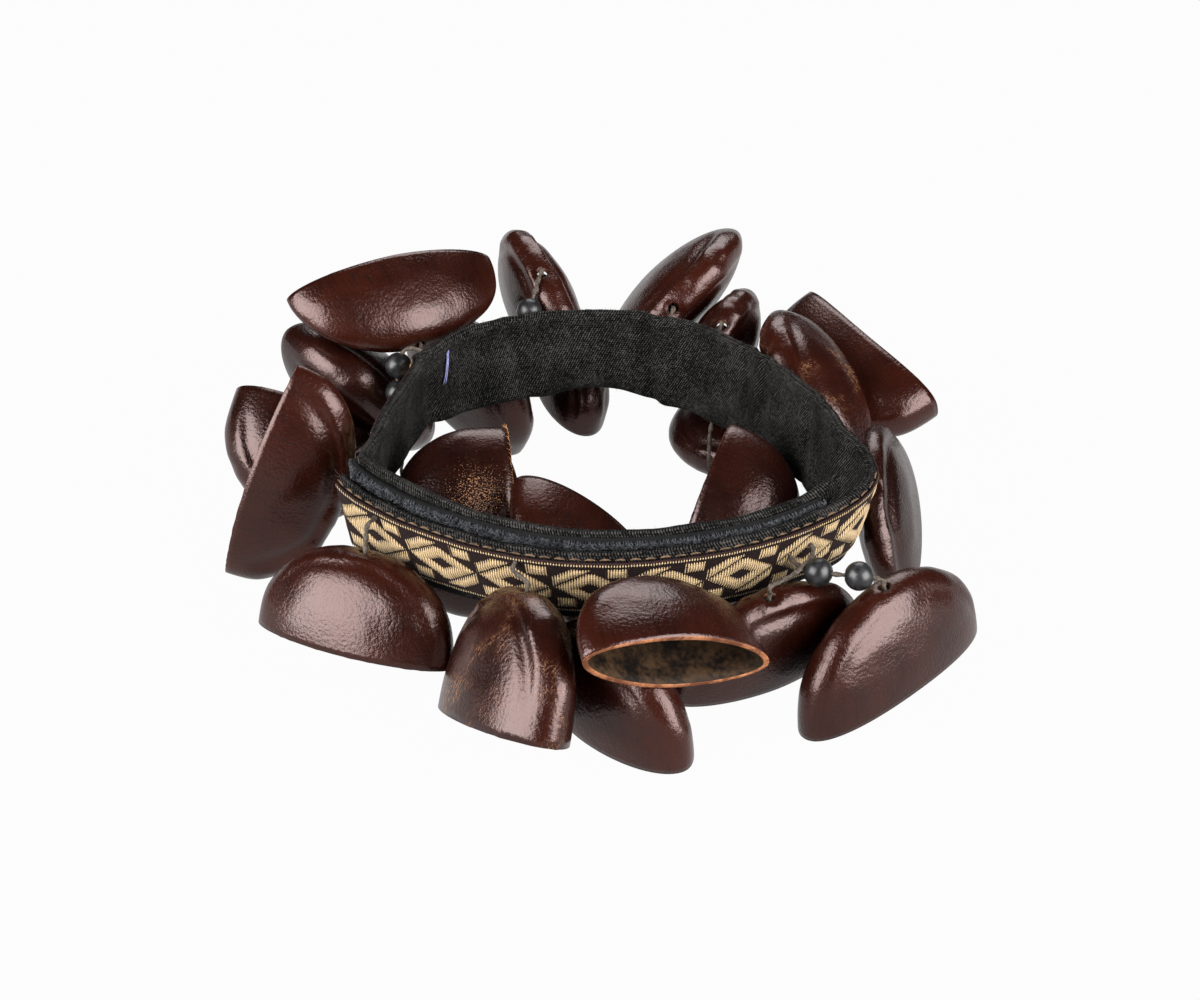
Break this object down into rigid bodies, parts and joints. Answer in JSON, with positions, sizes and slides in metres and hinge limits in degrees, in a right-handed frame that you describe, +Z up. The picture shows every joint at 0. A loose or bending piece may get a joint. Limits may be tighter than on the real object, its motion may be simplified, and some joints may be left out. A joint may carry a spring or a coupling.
{
  "type": "foot rattle",
  "caption": "Ankle band of black cotton with a woven lozenge ribbon and a hook-and-loop flap, hung all round with half nut shells on short beaded cords that clack as the foot moves.",
  "frame": {"origin": "middle of the part's box, on the ground that the lower shells rest on", "axes": "+Z up through the ankle opening, -Y towards the closed flap, +X towards the flap's fold"},
  "size_m": [0.1636, 0.1746, 0.0555],
  "materials": {
    "lining": "black cotton twill",
    "ribbon": "gold satin floats on a dark brown ground",
    "hook_and_loop": "black fuzzy tape",
    "shell": "polished dark red-brown nut shell",
    "cord": "twisted grey-brown thread",
    "bead": "black satin"
  },
  "bodies": {
    "band": {"band_lining": "lining", "band_ribbon": "ribbon", "loop_tape": "hook_and_loop"},
    "flap": {"flap_lining": "lining", "flap_ribbon": "ribbon", "hook_tape": "hook_and_loop"},
    "shell_01": {"shell_01": "shell", "cord_01": "cord"},
    "shell_02": {"shell_02": "shell", "cord_02": "cord"},
    "shell_03": {"shell_03": "shell", "cord_03": "cord"},
    "shell_04": {"shell_04": "shell", "cord_04": "cord"},
    "shell_05": {"shell_05": "shell", "cord_05": "cord"},
    "shell_06": {"shell_06": "shell", "cord_06": "cord"},
    "shell_07": {"shell_07": "shell", "cord_07": "cord"},
    "shell_08": {"shell_08": "shell", "cord_08": "cord"},
    "shell_09": {"shell_09": "shell", "cord_09": "cord"},
    "shell_10": {"shell_10": "shell", "cord_10": "cord"},
    "shell_11": {"shell_11": "shell", "cord_11": "cord"},
    "shell_12": {"shell_12": "shell", "cord_12": "cord"},
    "shell_13": {"shell_13": "shell", "cord_13": "cord"},
    "shell_14": {"shell_14": "shell", "cord_14": "cord"},
    "shell_15": {"shell_15": "shell", "cord_15": "cord"},
    "shell_16": {"shell_16": "shell", "cord_16": "cord"},
    "shell_17": {"shell_17": "shell", "cord_17": "cord"},
    "shell_18": {"shell_18": "shell", "cord_18": "cord"},
    "shell_19": {"shell_19": "shell", "cord_19": "cord"},
    "shell_20": {"shell_20": "shell", "cord_20": "cord"},
    "shell_21": {"shell_21": "shell", "cord_21": "cord"},
    "shell_22": {"shell_22": "shell", "cord_22": "cord"},
    "shell_23": {"shell_23": "shell", "cord_23": "cord"},
    "bead_02_1": {"bead_02_1": "bead"},
    "bead_02_2": {"bead_02_2": "bead"},
    "bead_10_1": {"bead_10_1": "bead"},
    "bead_10_2": {"bead_10_2": "bead"},
    "bead_16_1": {"bead_16_1": "bead"}
  },
  "joints": [
    {"name": "flap_opening", "type": "hinge", "parent": "band", "child": "flap", "pos_m": [0.05882, -0.02183, 0.03068], "axis": [0.2404, -0.0185, 0.9705], "range_deg": [0, 45]},
    {"name": "shell_01_swing", "type": "hinge", "parent": "band", "child": "shell_01", "pos_m": [-0.03793, 0.03232, 0.03489], "axis": [-0.9063, -0.4227, 0], "range_deg": [-40, 0]},
    {"name": "shell_02_swing", "type": "hinge", "parent": "band", "child": "shell_02", "pos_m": [-0.03714, 0.03308, 0.03907], "axis": [0.7262, -0.1677, 0.6667], "range_deg": [0, 35]},
    {"name": "shell_03_swing", "type": "hinge", "parent": "band", "child": "shell_03", "pos_m": [-0.0448, 0.01097, 0.02467], "axis": [0.1763, 0.6848, -0.7071], "range_deg": [-40, 0]},
    {"name": "shell_04_swing", "type": "hinge", "parent": "band", "child": "shell_04", "pos_m": [-0.04648, -0.00149, 0.03054], "axis": [0, 0, 1], "range_deg": [0, 40]},
    {"name": "shell_05_swing", "type": "hinge", "parent": "flap", "child": "shell_05", "pos_m": [-0.04351, -0.03293, 0.03419], "axis": [0.5374, -0.8433, 0], "range_deg": [-40, 0]},
    {"name": "shell_06_swing", "type": "hinge", "parent": "flap", "child": "shell_06", "pos_m": [-0.01417, -0.05251, 0.03543], "axis": [-0.9952, -0.0982, 0], "range_deg": [0, 40]},
    {"name": "shell_07_swing", "type": "hinge", "parent": "flap", "child": "shell_07", "pos_m": [0.01057, -0.05323, 0.03011], "axis": [-0.1043, 0.9945, 0], "range_deg": [-40, 0]},
    {"name": "shell_08_swing", "type": "hinge", "parent": "flap", "child": "shell_08", "pos_m": [0.00345, -0.05104, 0.02412], "axis": [0, 0, -1], "range_deg": [0, 15]},
    {"name": "shell_09_swing", "type": "hinge", "parent": "flap", "child": "shell_09", "pos_m": [0.03323, -0.0469, 0.02869], "axis": [0.1305, 0.5624, -0.8165], "range_deg": [-10, 0]},
    {"name": "shell_10_swing", "type": "hinge", "parent": "flap", "child": "shell_10", "pos_m": [0.04124, -0.04366, 0.03124], "axis": [0.6535, -0.757, 0], "range_deg": [0, 40]},
    {"name": "shell_11_swing", "type": "hinge", "parent": "band", "child": "shell_11", "pos_m": [0.05519, -0.00508, 0.03227], "axis": [-0.998, 0.0636, 0], "range_deg": [-40, 0]},
    {"name": "shell_12_swing", "type": "hinge", "parent": "band", "child": "shell_12", "pos_m": [0.03525, 0.03069, 0.02203], "axis": [-0.6782, -0.7349, 0], "range_deg": [0, 40]},
    {"name": "shell_13_swing", "type": "hinge", "parent": "band", "child": "shell_13", "pos_m": [0.04424, 0.02155, 0.03232], "axis": [-0.8574, -0.5147, 0], "range_deg": [-40, 0]},
    {"name": "shell_14_swing", "type": "hinge", "parent": "band", "child": "shell_14", "pos_m": [0.02705, 0.04252, 0.03435], "axis": [0.8025, -0.395, -0.4472], "range_deg": [0, 40]},
    {"name": "shell_15_swing", "type": "hinge", "parent": "band", "child": "shell_15", "pos_m": [0.01613, 0.04888, 0.03435], "axis": [-0.9775, 0.2107, 0], "range_deg": [-40, 0]},
    {"name": "shell_16_swing", "type": "hinge", "parent": "band", "child": "shell_16", "pos_m": [-0.01374, 0.05028, 0.03653], "axis": [0.3409, -0.9401, 0], "range_deg": [0, 40]},
    {"name": "shell_17_swing", "type": "hinge", "parent": "band", "child": "shell_17", "pos_m": [0.00324, 0.04904, 0.02036], "axis": [0.0381, -0.9993, 0], "range_deg": [-40, 0]},
    {"name": "shell_18_swing", "type": "hinge", "parent": "band", "child": "shell_18", "pos_m": [-0.02249, 0.04607, 0.03034], "axis": [-0.3534, 0.6124, -0.7071], "range_deg": [0, 40]},
    {"name": "shell_19_swing", "type": "hinge", "parent": "band", "child": "shell_19", "pos_m": [-0.03911, -0.02077, 0.02087], "axis": [0.3507, -0.8228, 0.4472], "range_deg": [-40, 0]},
    {"name": "shell_20_swing", "type": "hinge", "parent": "band", "child": "shell_20", "pos_m": [-0.00484, -0.04118, 0.02219], "axis": [0.2472, 0.969, 0], "range_deg": [0, 40]},
    {"name": "shell_21_swing", "type": "hinge", "parent": "band", "child": "shell_21", "pos_m": [0.052, -0.00961, 0.01984], "axis": [0, 0, -1], "range_deg": [-40, 0]},
    {"name": "shell_22_swing", "type": "hinge", "parent": "band", "child": "shell_22", "pos_m": [0.02838, 0.03407, 0.02014], "axis": [0, 0, 1], "range_deg": [0, 40]},
    {"name": "shell_23_swing", "type": "hinge", "parent": "band", "child": "shell_23", "pos_m": [-0.04174, 0.01807, 0.01985], "axis": [-0.3916, -0.9202, 0], "range_deg": [-40, 0]},
    {"name": "bead_02_1_spin", "type": "hinge", "parent": "shell_02", "child": "bead_02_1", "pos_m": [-0.04278, 0.03417, 0.03483], "axis": [-0.1404, -0.3328, -0.9325], "continuous": true},
    {"name": "bead_02_2_spin", "type": "hinge", "parent": "shell_02", "child": "bead_02_2", "pos_m": [-0.04283, 0.03194, 0.02905], "axis": [0.0534, -0.334, -0.9411], "continuous": true},
    {"name": "bead_10_1_spin", "type": "hinge", "parent": "shell_10", "child": "bead_10_1", "pos_m": [0.04671, -0.04752, 0.03004], "axis": [0.9449, -0.3266, -0.0211], "continuous": true},
    {"name": "bead_10_2_spin", "type": "hinge", "parent": "shell_10", "child": "bead_10_2", "pos_m": [0.05479, -0.0493, 0.03007], "axis": [0.9912, -0.1309, -0.0208], "continuous": true},
    {"name": "bead_16_1_spin", "type": "hinge", "parent": "shell_16", "child": "bead_16_1", "pos_m": [-0.01357, 0.05412, 0.03872], "axis": [0.2298, 0.6296, 0.7422], "continuous": true}
  ]
}
